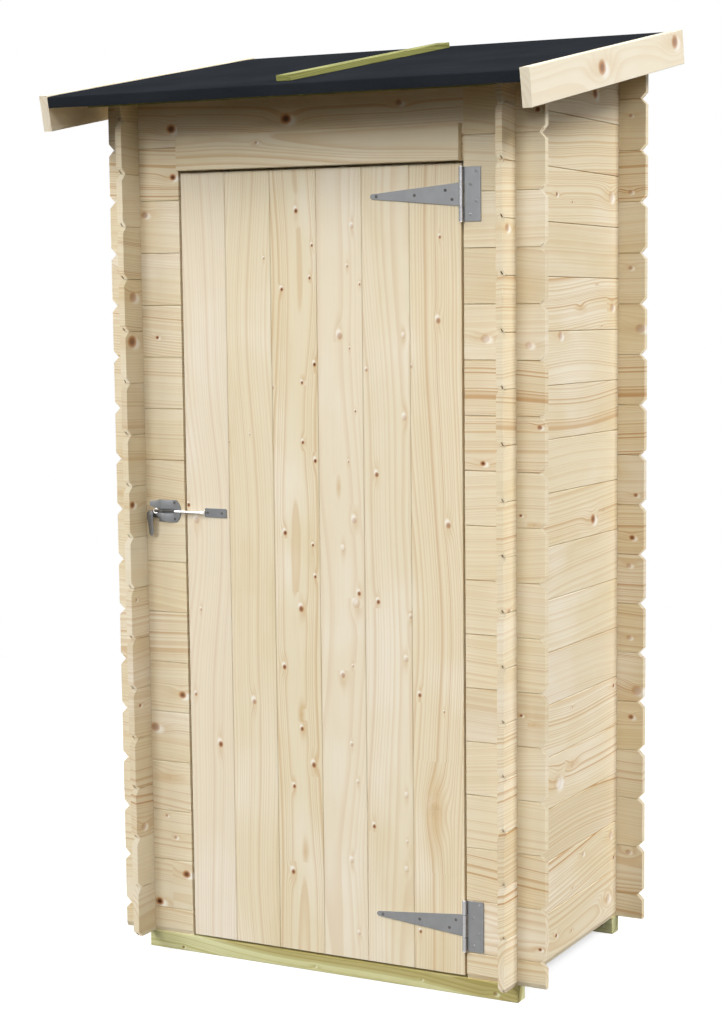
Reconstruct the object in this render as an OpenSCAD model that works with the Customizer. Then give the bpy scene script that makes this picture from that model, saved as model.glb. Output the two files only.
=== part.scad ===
// Lean-to garden shed of interlocking wall boards, with a ledged and braced plank door.
// Millimetres. X runs along the front, Y runs to the back, Z is up.
// The origin is on the ground, under the middle of the whole shed.

/* [Body] */
// Width of the front wall beside the doorway, out to the side wall's outer face
jamb_w = 124; // [110:1:180]
// Depth of the body over the outer faces of the front and back walls
body_d = 593; // [500:1:1000]
// Thickness of the wall boards
wall_t = 16; // [14:1:22]
// Height that one wall board covers
course_h = 120; // [116:1:135]
// Whole boards in the front wall, above its half board
front_rows = 16; // [16:1:18]
// Boards that the back wall has more than the front wall
rise_rows = 1; // [1:1:2]
// Length of the board ends past the crossing wall
board_end = 68.5; // [50:0.5:75]
// Depth of the 45 degree cuts on the corners of the board ends
end_cut = 14; // [8:1:20]

/* [Base] */
// Height of a ground beam
beam_h = 40; // [30:1:60]
// Depth of a ground beam
beam_d = 40; // [30:1:60]
// Thickness of the floor boards
floor_t = 16; // [14:1:24]

/* [Door] */
// Width of the door leaf
door_w = 720; // [600:5:740]
// Thickness of the door planks
plank_t = 16; // [14:1:22]
// Gap beside the door leaf
side_gap = 6; // [5:0.5:8]
// Gap under and over the door leaf, and behind it
door_gap = 5; // [5:0.5:8]
// Height of a door ledge
ledge_h = 90; // [60:1:110]
// Thickness of the ledges and braces
ledge_t = 16; // [12:1:20]
// Distance from a door edge to the end of a ledge
ledge_inset = 20; // [18:1:40]
// Width of a brace where it meets a ledge
brace_w = 98; // [60:1:110]
// Height of the bottom ledge's middle above the door's foot
ledge_low = 116; // [90:1:200]
// Distance of the top ledge's middle from the door's head
ledge_high = 66; // [60:1:200]

/* [Door frame] */
// Height of the front wall over the doorway
over_door = 174; // [110:1:400]
// Width of a door post
post_w = 44; // [40:1:60]
// Depth of a door post
post_d = 28; // [20:1:45]
// Overlap of the posts and the head past the edge of the doorway
stop_lap = 14; // [10:1:16]
// Height of the trim board over the door
lintel_h = 78; // [60:1:90]
// Length of the trim board past each edge of the door
lintel_past = 2; // [0:1:3]
// Thickness of the trim board over the door
lintel_t = 16; // [12:1:20]

/* [Roof] */
// Overhang of the roof past the front wall, along the slope
roof_front = 188.5; // [150:0.5:240]
// Overhang of the roof past the back wall, along the slope
roof_rear = 100; // [85:1:140]
// Overhang of the roof deck past the ends of the wall boards
deck_side = 27.5; // [20:0.5:60]
// Thickness of the roof deck
deck_t = 22; // [18:1:28]
// Thickness of the roofing felt
felt_t = 3; // [2:0.5:4]
// Thickness of a bargeboard
barge_t = 22; // [16:1:28]
// Height of a bargeboard, square to the slope
barge_h = 80; // [70:1:120]
// Height that a bargeboard stands above the felt
barge_up = 3.5; // [1:0.5:8]
// Width of the batten on top of the felt
felt_batten_w = 36; // [20:1:50]
// Thickness of the batten on top of the felt
felt_batten_t = 13; // [8:1:20]
// Distance of the felt batten's ends from the roof's edges
felt_batten_inset = 60; // [20:1:90]
// Width of the battens under the deck
eave_batten_w = 30; // [20:1:34]
// Thickness of the battens under the deck
eave_batten_t = 9; // [6:1:16]
// Distance of the battens under the deck from its edges
eave_batten_inset = 35; // [20:1:45]
// Length of the batten under the front of the deck past each side wall
eave_batten_past = 13; // [0:1:60]

/* [Hinges] */
// Length of a strap from the pin to its tip
strap_l = 225; // [180:1:300]
// Height of a strap beside the pin
strap_h = 51; // [30:1:60]
// Height of a strap at its round tip
strap_tip = 11; // [8:1:16]
// Thickness of the hinge leaves
leaf_t = 2.5; // [2:0.1:2.7]
// Height of a hinge's wall plate
plate_h = 116; // [100:1:120]
// Width of a hinge's wall plate from the pin
plate_w = 45; // [36:1:60]
// Radius of a hinge pin
pin_r = 3; // [2.5:0.1:3.5]
// Play between a pin and what turns on it
pin_play = 0.1; // [0.05:0.01:0.1]
// Gap between the barrels of the two leaves
barrel_gap = 0.5; // [0.3:0.1:1]

/* [Latch] */
// Height of the latch rod above the door's foot
rod_up = 1016; // [900:1:1100]
// Radius of the latch rod
rod_r = 4; // [3:0.5:5]
// Distance of the rod's end from the far edge of the latch case
rod_short = 10; // [6:1:14]
// Length of the rod's plate
striker_w = 59; // [45:1:80]
// Height of the rod's plate
striker_h = 21; // [16:1:30]
// Distance of the rod's plate from the door's edge
striker_in = 51; // [48:1:54]
// Clearance between the latch and the side wall
latch_room = 13.5; // [8:0.5:16]
// Height of the latch case
case_h = 52; // [44:1:60]
// Depth of the latch case's jaws
case_d = 12; // [11:0.5:13]
// Distance of the latch case from the doorway
case_in = 10; // [9:1:14]
// Length of the latch lever from its pivot to its round end
lever_l = 42; // [34:1:50]
// Radius of the latch lever's ends
lever_r = 8.5; // [6:0.5:9]

/* [Hidden] */
$fn = 48;

spruce = [0.89, 0.82, 0.69];
treated = [0.72, 0.70, 0.46];
charcoal = [0.20, 0.21, 0.23];
zinc = [0.62, 0.63, 0.63];

// Clearance of a board in the lap that it passes through
lap_gap = 0.15;
// Margin by which a cutting shape runs past what it cuts
past = 1;

opening_w = door_w + 2 * side_gap;
body_w = opening_w + 2 * jamb_w;
back_rows = front_rows + rise_rows;
wall_top = (front_rows + 0.5) * course_h;
pitch = atan(rise_rows * course_h / body_d);
slope_d = body_d / cos(pitch);
wall_l = body_w + 2 * board_end;
side_in = body_w / 2 - wall_t;

// The roof is drawn in its own frame: u runs up the slope from the front wall, n stands square on it.
deck_w = wall_l + 2 * deck_side;
deck_n = deck_t + felt_t;
barge_n = deck_n + barge_up;
roof_l = roof_front + slope_d + roof_rear;
function roof_y(u, n) = u * cos(pitch) - n * sin(pitch);

// The whole shed's box is centred on Y.
front_y = -(roof_y(-roof_front, barge_n) + roof_y(slope_d + roof_rear, barge_n - barge_h)) / 2;

opening_h = wall_top - over_door;
door_h = opening_h - 2 * door_gap;
door_foot = beam_h + door_gap;
inner_w = opening_w - 2 * stop_lap;
floor_top = beam_h + floor_t;

// The hinge barrels lie against the outer face of the door, over the gap beside it.
barrel_r = pin_r + leaf_t;
hinge_x = (opening_w + door_w) / 4;
hinge_y = front_y - barrel_r;
bottom_ledge_z = door_foot + ledge_low;
top_ledge_z = door_foot + door_h - ledge_high;
ledge_l = door_w - 2 * ledge_inset;
// Height and radius of a pin's heads
pin_head = 1.5;
pin_head_r = pin_r + leaf_t / 2;

// The latch fills the wall between the doorway and the side wall. The lever hangs beside the case.
latch_plate_t = 2.5;
ear_gap = 6.5;
ear_w = 2 * lever_r + ear_gap;
case_w = jamb_w - wall_t - case_in - ear_w - latch_room;
case_x = -opening_w / 2 - case_in;
case_left = case_x - case_w;
// Width of the case's rounded side that the jaws leave free, and its bulge
case_nose = 23;
case_bulge = 7;
case_round = case_h / 2 + case_bulge;
// Play of the rod between the jaws
rod_play = 3;
case_slot = 2 * rod_r + rod_play;
rod_z = door_foot + rod_up;
rod_y = front_y - case_d + rod_r;
rod_l = striker_in + side_gap + case_in + case_w - rod_short;
// Length of the rod that lies on its plate
rod_bed = striker_w / 3;
// Clearance between the jaws and the lever
lever_gap = 5;
lever_t = 3;
lever_out = case_d + lever_gap;
lever_x = case_left - ear_w + lever_r;
lever_z = rod_z - lever_r;
rivet_r = 2.5;
rivet_head_t = 1.5;
boss_r = 5;
boss_gap = 0.3;
horn_h = 14;
horn_t = 2.5;
horn_l = ear_w + horn_t;
horn_flare = 8;

// ---------------------------------------------------------------- shared shapes

module on_roof() {
    translate([0, front_y, beam_h + wall_top])
        rotate([pitch, 0, 0])
            children();
}

// A slat in the roof's frame, centred on X
module roof_slat(w, u, l, n, t) {
    on_roof()
        translate([-w / 2, u, n])
            cube([w, l, t]);
}

// Everything below the underside of the roof deck
module under_roof() {
    reach = 2 * (wall_top + body_w);
    on_roof()
        translate([-reach / 2, -reach / 2, -reach])
            cube([reach, reach, reach]);
}

// Stands a flat outline, drawn in X and Z, upright with thickness t behind the plane y
module upright(y, t) {
    translate([0, y + t, 0])
        rotate([90, 0, 0])
            linear_extrude(t)
                children();
}

// Stands a flat outline, drawn in Y and Z, upright with thickness t from the plane x
module sideways(x, t) {
    translate([x, 0, 0])
        rotate([90, 0, 90])
            linear_extrude(t)
                children();
}

// The V cuts between the ends of the boards that meet at the heights zs
module end_notches(x, zs) {
    for (z = zs)
        translate([x, z])
            rotate(45)
                square(end_cut * sqrt(2), center = true);
}

// The laps that the boards of a crossing wall, wall_t thick from x, pass through
module laps(x, zs) {
    for (z = zs)
        translate([x - lap_gap, z - course_h / 4 - lap_gap])
            square([wall_t + 2 * lap_gap, course_h / 2 + 2 * lap_gap]);
}

// ---------------------------------------------------------------- base

module ground_beam(y) {
    color(treated)
        translate([-body_w / 2, y, 0])
            cube([body_w, beam_d, beam_h]);
}

module ground_beam_front() {
    ground_beam(front_y);
}

module ground_beam_rear() {
    ground_beam(front_y + body_d - beam_d);
}

module floor_boards() {
    floor_y = front_y + plank_t + door_gap;
    color(spruce)
        translate([-side_in, floor_y, beam_h])
            cube([2 * side_in, front_y + body_d - wall_t - floor_y, floor_t]);
}

// ---------------------------------------------------------------- walls

// Outline of a front or back wall with the given number of whole boards over its half board
module cross_wall(rows) {
    joints = [for (i = [0:rows - 1]) (i + 0.5) * course_h];
    translate([0, beam_h])
        difference() {
            translate([-wall_l / 2, 0])
                square([wall_l, (rows + 0.5) * course_h]);
            end_notches(-wall_l / 2, joints);
            end_notches(wall_l / 2, joints);
            laps(-body_w / 2, [for (i = [0:rows]) (i + 0.5) * course_h]);
            laps(side_in, [for (i = [0:rows]) (i + 0.5) * course_h]);
        }
}

// The part of the front wall between two places along X, from the height z up
module front_wall(x_from, x_to, z) {
    color(spruce)
        intersection() {
            upright(front_y, wall_t)
                intersection() {
                    cross_wall(front_rows);
                    translate([x_from, z])
                        square([x_to - x_from, beam_h + wall_top - z]);
                }
            under_roof();
        }
}

module front_wall_left() {
    front_wall(-wall_l / 2, -opening_w / 2, beam_h);
}

module front_wall_right() {
    front_wall(opening_w / 2, wall_l / 2, beam_h);
}

module front_wall_over_door() {
    front_wall(-opening_w / 2, opening_w / 2, beam_h + opening_h);
}

module back_wall() {
    color(spruce)
        intersection() {
            upright(front_y + body_d - wall_t, wall_t)
                cross_wall(back_rows);
            under_roof();
        }
}

module side_wall(x) {
    side_l = body_d + 2 * board_end;
    joints = [for (i = [0:back_rows]) i * course_h];
    color(spruce)
        intersection() {
            sideways(x, wall_t)
                translate([front_y, beam_h])
                    difference() {
                        translate([-board_end, 0])
                            square([side_l, (back_rows + 2) * course_h]);
                        end_notches(-board_end, joints);
                        end_notches(body_d + board_end, joints);
                        laps(0, [for (i = [0:front_rows]) i * course_h]);
                        laps(body_d - wall_t, joints);
                    }
            under_roof();
        }
}

module side_wall_left() {
    side_wall(-body_w / 2);
}

module side_wall_right() {
    side_wall(side_in);
}

// ---------------------------------------------------------------- door frame

// Section of the frame, drawn on the right of the doorway: it laps behind the door's edge
module frame_section() {
    back = front_y + plank_t + door_gap + post_d;
    difference() {
        translate([inner_w / 2, front_y + wall_t])
            square([post_w, back - front_y - wall_t]);
        translate([inner_w / 2 - past, front_y + wall_t - past])
            square([stop_lap + past, plank_t + door_gap - wall_t + past]);
    }
}

module door_post_right() {
    color(spruce)
        translate([0, 0, floor_top])
            linear_extrude(beam_h + opening_h + post_w - stop_lap - floor_top)
                frame_section();
}

module door_post_left() {
    color(spruce)
        mirror([1, 0, 0])
            door_post_right();
}

module door_head() {
    lip_z = beam_h + opening_h - stop_lap;
    back = front_y + plank_t + door_gap + post_d;
    color(spruce)
        difference() {
            translate([-inner_w / 2, front_y + wall_t, lip_z])
                cube([inner_w, back - front_y - wall_t, post_w]);
            translate([-inner_w / 2 - past, front_y + wall_t - past, lip_z - past])
                cube([inner_w + 2 * past, plank_t + door_gap - wall_t + past, stop_lap + past]);
        }
}

module lintel_board() {
    color(spruce)
        translate([-door_w / 2 - lintel_past, front_y - lintel_t, beam_h + opening_h])
            cube([door_w + 2 * lintel_past, lintel_t, lintel_h]);
}

// ---------------------------------------------------------------- roof

module roof_deck() {
    color(spruce)
        roof_slat(deck_w, felt_t - roof_front, roof_l - 2 * felt_t, 0, deck_t);
}

// The felt lies on the deck and folds down over its front and back edges.
module roof_felt() {
    color(charcoal)
        difference() {
            roof_slat(deck_w, -roof_front, roof_l, 0, deck_n);
            roof_slat(deck_w + 2 * past, felt_t - roof_front, roof_l - 2 * felt_t, -past, deck_t + past);
        }
}

module bargeboard_right() {
    color(spruce)
        on_roof()
            translate([deck_w / 2, -roof_front, barge_n - barge_h])
                cube([barge_t, roof_l, barge_h]);
}

module bargeboard_left() {
    color(spruce)
        mirror([1, 0, 0])
            bargeboard_right();
}

module felt_batten() {
    color(treated)
        roof_slat(felt_batten_w, felt_batten_inset - roof_front, roof_l - 2 * felt_batten_inset,
            deck_n, felt_batten_t);
}

module eave_batten_front() {
    color(treated)
        roof_slat(body_w + 2 * eave_batten_past, eave_batten_inset - roof_front, eave_batten_w,
            -eave_batten_t, eave_batten_t);
}

// The back one fits between the ends of the side walls.
module eave_batten_rear() {
    color(treated)
        roof_slat(2 * (side_in - door_gap), slope_d + roof_rear - eave_batten_inset - eave_batten_w,
            eave_batten_w, -eave_batten_t, eave_batten_t);
}

// ---------------------------------------------------------------- hinges

// One barrel round the pin's line, with its bore
module barrel(z, l) {
    translate([hinge_x, hinge_y, z])
        difference() {
            cylinder(r = barrel_r, h = l);
            translate([0, 0, -past])
                cylinder(r = pin_r + pin_play, h = l + 2 * past);
        }
}

// The leaf on the wall, with a barrel above and below the strap's barrel
module hinge_plate(z) {
    foot = z - plate_h / 2;
    color(zinc)
        difference() {
            union() {
                translate([hinge_x, front_y - leaf_t, foot])
                    cube([plate_w, leaf_t, plate_h]);
                translate([hinge_x, hinge_y, foot])
                    cylinder(r = barrel_r, h = plate_h);
            }
            translate([hinge_x, hinge_y, foot - past])
                cylinder(r = pin_r + pin_play, h = plate_h + 2 * past);
            translate([hinge_x - barrel_r - past, hinge_y - barrel_r - past, z - strap_h / 2 - barrel_gap])
                cube([2 * barrel_r + past + barrel_gap, 2 * barrel_r + 2 * past, strap_h + 2 * barrel_gap]);
        }
}

// The tapered leaf on the door
module hinge_strap(z) {
    tip_r = strap_tip / 2;
    color(zinc)
        union() {
            barrel(z - strap_h / 2, strap_h);
            difference() {
                upright(front_y - leaf_t, leaf_t)
                    union() {
                        polygon([[hinge_x, z - strap_h / 2], [hinge_x, z + strap_h / 2],
                            [hinge_x - strap_l + tip_r, z + tip_r],
                            [hinge_x - strap_l + tip_r, z - tip_r]]);
                        translate([hinge_x - strap_l + tip_r, z])
                            circle(r = tip_r);
                    }
                translate([hinge_x, hinge_y, z - strap_h])
                    cylinder(r = pin_r + pin_play, h = 2 * strap_h);
            }
        }
}

module hinge_pin(z) {
    color(zinc)
        translate([hinge_x, hinge_y, z - plate_h / 2])
            union() {
                cylinder(r = pin_r, h = plate_h);
                translate([0, 0, -pin_head])
                    cylinder(r = pin_head_r, h = pin_head);
                translate([0, 0, plate_h])
                    cylinder(r = pin_head_r, h = pin_head);
            }
}

module hinge_plate_upper() {
    hinge_plate(top_ledge_z);
}

module hinge_plate_lower() {
    hinge_plate(bottom_ledge_z);
}

module hinge_pin_upper() {
    hinge_pin(top_ledge_z);
}

module hinge_pin_lower() {
    hinge_pin(bottom_ledge_z);
}

module hinge_strap_upper() {
    hinge_strap(top_ledge_z);
}

module hinge_strap_lower() {
    hinge_strap(bottom_ledge_z);
}

// ---------------------------------------------------------------- door leaf

module door_planks() {
    color(spruce)
        translate([-door_w / 2, front_y, door_foot])
            cube([door_w, plank_t, door_h]);
}

module door_ledge(z) {
    color(spruce)
        translate([-ledge_l / 2, front_y + plank_t, z - ledge_h / 2])
            cube([ledge_l, ledge_t, ledge_h]);
}

module door_ledge_top() {
    door_ledge(top_ledge_z);
}

module door_ledge_middle() {
    door_ledge((top_ledge_z + bottom_ledge_z) / 2);
}

module door_ledge_bottom() {
    door_ledge(bottom_ledge_z);
}

// A brace between two ledges, rising away from the hinges
module door_brace(z_low, z_high) {
    foot = z_low + ledge_h / 2;
    head = z_high - ledge_h / 2;
    end_x = ledge_l / 2;
    in_x = end_x - brace_w;
    color(spruce)
        upright(front_y + plank_t, ledge_t)
            polygon([[in_x, foot], [end_x, foot], [-in_x, head], [-end_x, head]]);
}

module door_brace_upper() {
    door_brace((top_ledge_z + bottom_ledge_z) / 2, top_ledge_z);
}

module door_brace_lower() {
    door_brace(bottom_ledge_z, (top_ledge_z + bottom_ledge_z) / 2);
}

// ---------------------------------------------------------------- latch

// The rod and its plate on the door
module latch_striker() {
    plate_x = striker_in - door_w / 2;
    color(zinc)
        union() {
            translate([plate_x, front_y - latch_plate_t, rod_z - striker_h / 2])
                cube([striker_w, latch_plate_t, striker_h]);
            translate([plate_x + rod_bed, rod_y, rod_z])
                rotate([0, -90, 0])
                    cylinder(r = rod_r, h = rod_l + rod_bed);
            translate([plate_x, rod_y, rod_z - rod_r])
                cube([rod_bed, front_y - rod_y, 2 * rod_r]);
        }
}

// Outline of the case: square on the left, bulging towards the door
module case_outline() {
    translate([case_left, rod_z - case_h / 2])
        square([case_w - case_round, case_h]);
    intersection() {
        translate([case_left, rod_z - case_h / 2])
            square([case_w, case_h]);
        translate([case_x - case_round, rod_z])
            circle(r = case_round);
    }
}

// The plate on the wall, with an ear that carries the lever's pivot
module case_plate() {
    upright(front_y - latch_plate_t, latch_plate_t)
        union() {
            case_outline();
            translate([lever_x, lever_z - lever_r])
                square([case_left - lever_x + past, 2 * lever_r]);
            translate([lever_x, lever_z])
                circle(r = lever_r);
        }
}

// The two jaws, with the slot between them that the rod drops into
module case_jaws() {
    difference() {
        upright(front_y - case_d, case_d)
            intersection() {
                case_outline();
                translate([case_left, rod_z - case_h / 2])
                    square([case_w - case_nose, case_h]);
            }
        translate([case_left - past, front_y - case_d - past, rod_z - case_slot / 2])
            cube([case_w - case_nose + 2 * past, case_d - latch_plate_t + past, case_slot]);
    }
}

// The flared horn that guides the rod in under the upper jaw
module case_horn() {
    y = front_y - case_d;
    translate([0, 0, rod_z + case_h / 2 - horn_h - horn_t])
        linear_extrude(horn_h)
            polygon([[case_left + past, y], [case_left - horn_l, y - horn_flare],
                [case_left - horn_l, y - horn_flare + horn_t], [case_left + past, y + horn_t]]);
}

// The lever's pivot: a boss, a rivet through the lever, and the rivet's head
module case_pivot() {
    boss_l = lever_out - boss_gap;
    translate([lever_x, front_y, lever_z])
        rotate([90, 0, 0])
            union() {
                cylinder(r = boss_r, h = boss_l);
                cylinder(r = rivet_r, h = lever_out + lever_t + boss_gap);
                translate([0, 0, lever_out + lever_t + boss_gap])
                    cylinder(r = boss_r, h = rivet_head_t);
            }
}

module latch_case() {
    color(zinc)
        union() {
            case_plate();
            case_jaws();
            case_horn();
            case_pivot();
        }
}

module latch_lever() {
    color(zinc)
        difference() {
            upright(front_y - lever_out - lever_t, lever_t)
                union() {
                    translate([lever_x - lever_r, lever_z - lever_l])
                        square([2 * lever_r, lever_l]);
                    translate([lever_x, lever_z])
                        circle(r = lever_r);
                    translate([lever_x, lever_z - lever_l])
                        circle(r = lever_r);
                }
            translate([lever_x, front_y, lever_z])
                rotate([90, 0, 0])
                    cylinder(r = rivet_r + pin_play, h = lever_out + 2 * lever_t);
        }
}

ground_beam_front();
ground_beam_rear();
floor_boards();
front_wall_left();
front_wall_right();
front_wall_over_door();
side_wall_left();
side_wall_right();
back_wall();
door_post_left();
door_post_right();
door_head();
lintel_board();
roof_deck();
roof_felt();
bargeboard_left();
bargeboard_right();
felt_batten();
eave_batten_front();
eave_batten_rear();
hinge_plate_upper();
hinge_plate_lower();
hinge_pin_upper();
hinge_pin_lower();
latch_case();
door_planks();
door_ledge_top();
door_ledge_middle();
door_ledge_bottom();
door_brace_upper();
door_brace_lower();
hinge_strap_upper();
hinge_strap_lower();
latch_striker();
latch_lever();
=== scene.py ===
import math

import bpy
import numpy as np
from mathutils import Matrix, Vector


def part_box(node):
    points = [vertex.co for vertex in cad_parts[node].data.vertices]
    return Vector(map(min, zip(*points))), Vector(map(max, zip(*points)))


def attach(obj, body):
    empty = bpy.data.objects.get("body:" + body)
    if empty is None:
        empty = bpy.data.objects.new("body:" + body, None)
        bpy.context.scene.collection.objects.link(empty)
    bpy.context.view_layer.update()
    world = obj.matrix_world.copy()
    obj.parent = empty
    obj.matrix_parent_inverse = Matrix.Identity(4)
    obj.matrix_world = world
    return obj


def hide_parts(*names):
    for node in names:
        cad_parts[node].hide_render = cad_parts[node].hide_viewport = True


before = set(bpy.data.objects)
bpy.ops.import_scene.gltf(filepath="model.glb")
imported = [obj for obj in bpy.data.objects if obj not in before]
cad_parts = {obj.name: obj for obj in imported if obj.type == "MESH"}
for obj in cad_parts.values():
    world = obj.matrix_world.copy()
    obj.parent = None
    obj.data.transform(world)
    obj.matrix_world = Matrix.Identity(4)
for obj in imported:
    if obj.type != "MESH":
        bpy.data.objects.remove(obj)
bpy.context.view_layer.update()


# ---- sizes

def corners(node):
    """Lowest and highest corner of a node of the frame, as arrays."""
    low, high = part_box(node)
    return np.array(low), np.array(high)


# A wall board's cover height, the cut at the corners of its ends, and the play between lapped boards
COURSE, END_CUT, LAP_PLAY = 0.120, 0.014, 0.00015
# How far the top side board stops short of the sharp tip that the roof's slope would leave
TIP_SHORT = 0.006

# Places of the walls, the doorway and the roof, from the frame
front_low, front_high = corners("front_wall_left")
over_low, over_high = corners("front_wall_over_door")
side_low, side_high = corners("side_wall_right")
FRONT, BACK, FOOT = front_low[1], corners("back_wall")[1][1], front_low[2]
WALL = front_high[1] - front_low[1]
WALL_TOP = over_high[2]
BODY = side_high[0]
END = FRONT - side_low[1]
DEPTH = BACK - FRONT
LEFT, RIGHT = over_low[0], over_high[0]
OVER_DOOR = over_low[2] - FOOT
FRONT_ROWS = round((WALL_TOP - FOOT) / COURSE - 0.5)
PITCH = math.atan(COURSE / DEPTH)

# Along the slope from the front wall's face: the roof's front edge lies this far below, its rear edge this far up
ROOF_FRONT = 0.1885
ROOF_REAR = DEPTH / math.cos(PITCH) + 0.100
# Half the deck's width, and the thickness of the deck, the felt and the bargeboards
DECK = corners("roof_deck")[1][0]
DECK_T, FELT_T, BARGE_T = 0.022, 0.003, 0.022
# The bargeboards' height, and how far they stand over the felt
BARGE_H, BARGE_RISE = 0.080, 0.0035

# Directions: the shed's own axes, up the roof's slope, and square off it
X, Y, Z = np.eye(3)
UP_ROOF = np.array([0.0, math.cos(PITCH), math.sin(PITCH)])
OFF_ROOF = np.array([0.0, -math.sin(PITCH), math.cos(PITCH)])


# ---- knots

def knot_list(*numbers):
    """Knots from whole numbers, four to a knot: its place along the wall and its height in millimetres, its radius in
    tenths of a millimetre, and how dark it is in hundredths."""
    return (np.array(numbers).reshape(-1, 4) / [1000, 1000, 10000, 100]).tolist()


DOOR_KNOTS = knot_list(
    -355, 1077, 35, 90,  -333, 1042, 56, 35,  -326, 832, 26, 40,  -345, 629, 33, 60,  -278, 515, 56, 85,
    -139, 1645, 21, 60,  -184, 1246, 16, 50,  -122, 1245, 31, 35,  -241, 1227, 19, 60,  -183, 624, 54, 55,
    -53, 1749, 45, 95,  -13, 1672, 28, 90,  -20, 1600, 28, 90,  -93, 1575, 38, 95,  -10, 1407, 38, 95,
    -43, 1366, 31, 95,  -121, 1354, 33, 40,  -43, 1231, 33, 90,  -11, 1190, 40, 95,  -93, 1023, 42, 90,
    -20, 998, 31, 90,  -15, 926, 33, 90,  -53, 850, 54, 80,  -100, 712, 45, 85,  -56, 604, 52, 0,  -55, 571, 42, 85,
    -25, 489, 52, 80,  -78, 434, 38, 85,  -51, 282, 52, 0,  -84, 231, 52, 85,  -14, 231, 61, 75,  90, 1712, 38, 30,
    77, 1625, 24, 50,  108, 1585, 24, 70,  56, 1471, 56, 45,  81, 1444, 19, 60,  94, 1304, 19, 80,  75, 1191, 19, 50,
    49, 1133, 38, 0,  89, 1059, 52, 35,  59, 993, 40, 15,  99, 894, 42, 85,  92, 872, 71, 15,  81, 727, 21, 50,
    55, 704, 52, 50,  114, 586, 28, 60,  76, 546, 31, 40,  91, 460, 28, 30,  73, 275, 42, 25,  90, 106, 33, 30,
    217, 1471, 35, 20,  123, 1396, 28, 50,  218, 1292, 45, 30,  147, 1164, 45, 75,  148, 878, 42, 85,
    230, 849, 31, 35,  218, 752, 42, 30,  216, 441, 35, 20,  132, 362, 40, 85,  217, 335, 21, 30,  215, 270, 35, 20,
    308, 1685, 28, 70,  303, 1505, 49, 60,  235, 1405, 28, 40,  325, 1058, 54, 60,  251, 674, 38, 85,
    312, 641, 19, 60,  289, 412, 146, 0,  249, 132, 33, 75)
FRONT_KNOTS = knot_list(
    -383, 1942, 90, 90,  -381, 1833, 66, 95,  -462, 1749, 66, 50,  -462, 1680, 95, 60,  -433, 1466, 35, 90,
    -383, 624, 81, 85,  -463, 540, 90, 55,  -382, 189, 81, 90,  -461, 113, 85, 100,  -411, 276, 38, 50,
    -435, 327, 31, 50,  -76, 1953, 100, 95,  416, 1467, 71, 30,  410, 1197, 54, 95,  541, 1946, 44, 90,
    519, 1453, 61, 30,  545, 1278, 44, 70,  500, 1087, 29, 80,  530, 1068, 40, 0,  500, 649, 31, 80,  530, 630, 40, 0,
    545, 130, 35, 90,  -430, 420, 80, 0,  -530, 1620, 72, 80,  -515, 1100, 62, 70,  -528, 700, 72, 60,
    210, 1975, 62, 50)
RIGHT_KNOTS = knot_list(
    176, 2021, 105, 85,  -41, 1782, 45, 75,  46, 1768, 22, 70,  273, 1791, 100, 30,  96, 1530, 50, 0,
    283, 1533, 75, 40,  -22, 1470, 80, 40,  222, 1489, 22, 70,  191, 1584, 20, 50,  169, 1039, 105, 80,
    234, 1053, 15, 80,  52, 612, 26, 50,  299, 620, 45, 80,  48, 477, 75, 0,  -35, 452, 140, 10,  284, 253, 75, 30,
    112, 248, 50, 35,  304, 192, 36, 70,  53, 181, 26, 50,  266, 99, 90, 30,  -44, 94, 45, 85,  45, 81, 22, 70,
    -300, 1700, 72, 50,  -295, 880, 72, 50)
BACK_KNOTS = knot_list(
    520, 1981, 36, 50,  520, 1803, 44, 50,  521, 1625, 44, 50,  537, 1084, 44, 70,  528, 981, 57, 85,
    520, 913, 51, 40,  521, 737, 47, 40,  527, 542, 54, 75,  521, 205, 47, 40,  546, 1483, 90, 40,  542, 609, 96, 40)
LEFT_KNOTS = knot_list(
    -298, 1457, 116, 75,  -291, 1560, 100, 50,  -312, 1077, 69, 85,  -299, 599, 40, 70,  -305, 852, 34, 50,
    -296, 305, 72, 40)


# ---- outlines and rings

def shifted(loop, inset):
    """Moves each edge of a closed outline inwards by its inset.

    With the inward normals n0, n1 and the insets d0, d1 of the edges before and after a corner p, the moved lines
    meet at p + (d0 n1y - d1 n0y, d1 n0x - d0 n1x) / (n0x n1y - n0y n1x). Between edges in line p moves along n1."""
    edge = np.roll(loop, -1, axis=0) - loop
    edge = edge / np.linalg.norm(edge, axis=1, keepdims=True)
    n1 = np.stack([-edge[:, 1], edge[:, 0]], axis=1)
    n0 = np.roll(n1, 1, axis=0)
    d1, d0 = inset, np.roll(inset, 1)
    across = n0[:, 0] * n1[:, 1] - n0[:, 1] * n1[:, 0]
    bent = np.abs(across) > 1e-6
    safe = np.where(bent, across, 1.0)
    x = np.where(bent, (d0 * n1[:, 1] - d1 * n0[:, 1]) / safe, d1 * n1[:, 0])
    y = np.where(bent, (d1 * n0[:, 0] - d0 * n1[:, 0]) / safe, d1 * n1[:, 1])
    return loop + np.stack([x, y], axis=1)


def counter_clockwise(loop, *along):
    """An outline, turned round if its area, half the sum of x0 y1 - x1 y0 over its edges, is negative; and whatever
    else is given at its corners, turned round with it."""
    ahead = np.roll(loop, -1, axis=0)
    turn = 1 if np.sum(loop[:, 0] * ahead[:, 1] - ahead[:, 0] * loop[:, 1]) > 0 else -1
    return [rows[::turn] for rows in (loop, *along)]


def section(depths, **insets):
    """A board's cross-section: how deep each ring lies, and how far each kind of edge is drawn in there."""
    return np.array(depths, float), {kind: np.array(row, float) for kind, row in insets.items()}


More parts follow.
